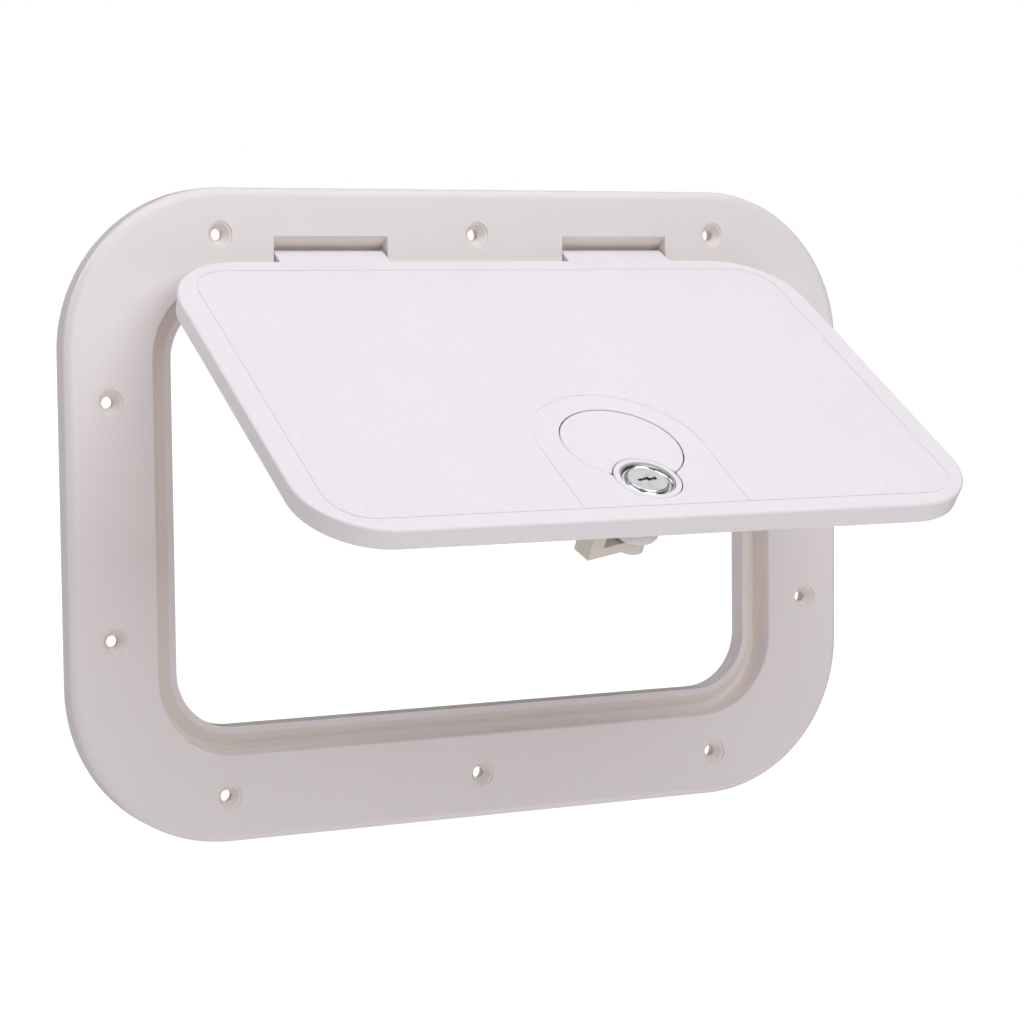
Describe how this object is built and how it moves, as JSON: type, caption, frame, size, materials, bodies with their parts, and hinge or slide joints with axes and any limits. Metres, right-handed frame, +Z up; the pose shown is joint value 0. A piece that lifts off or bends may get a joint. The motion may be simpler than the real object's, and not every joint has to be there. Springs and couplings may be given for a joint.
{
  "type": "deck hatch",
  "caption": "Rectangular marine access hatch: flanged frame with countersunk holes, gutter and neck, a hinged non-skid lid standing open, a flush lift flap and a key-operated cam lock.",
  "frame": {"origin": "centre of the opening, on the outer surface of the panel that the hatch is fitted in", "axes": "+Z up, +X to the right as seen from outside, +Y into the panel; the hinge is at the top"},
  "size_m": [0.38, 0.1954, 0.282],
  "materials": {
    "frame_plastic": "moulded UV-stable ASA, satin gloss, warm off-white",
    "lid_plastic": "moulded UV-stable ASA, satin, off-white with a fine non-skid field",
    "latch_plastic": "moulded ASA, satin, off-white",
    "seal_rubber": "soft black sealing rubber",
    "stainless": "plain stainless steel",
    "lock_chrome": "bright chrome plate",
    "lock_zinc": "dull nickel-plated zinc",
    "cam_nylon": "cream moulded nylon",
    "wafer_brass": "stamped brass"
  },
  "bodies": {
    "frame": {"hatch_frame": "frame_plastic", "hinge_pin_left": "stainless", "hinge_pin_right": "stainless"},
    "lid": {"lid_panel": "lid_plastic", "lid_seal": "seal_rubber", "latch_housing": "latch_plastic", "latch_gasket": "seal_rubber", "latch_screws": "stainless", "flap_pin": "stainless", "lock_barrel": "lock_chrome", "lock_gasket": "seal_rubber", "lock_washer": "stainless", "lock_nut": "lock_zinc"},
    "flap": {"pull_flap": "latch_plastic", "flap_spring": "stainless"},
    "lock_plug": {"key_plug": "lock_chrome", "keyway_shutter": "lock_chrome", "lock_wafers": "wafer_brass", "cam": "cam_nylon", "cam_washer": "stainless", "cam_screw": "stainless"}
  },
  "joints": [
    {"name": "lid_hinge", "type": "hinge", "parent": "frame", "child": "lid", "pos_m": [0, -0.0068, 0.1092], "axis": [-1, 0, 0], "range_deg": [-59.6, 40.4]},
    {"name": "flap_lift", "type": "hinge", "parent": "lid", "child": "flap", "pos_m": [0, -0.13849, 0.03171], "axis": [-1, 0, 0], "range_deg": [0, 24], "stiffness_Nm_per_rad": 0.03, "springref_deg": -34.38},
    {"name": "plug_turn", "type": "hinge", "parent": "lid", "child": "lock_plug", "pos_m": [0, -0.16137, 0.01063], "axis": [0, -0.506, 0.8625], "range_deg": [-15, 75]}
  ]
}
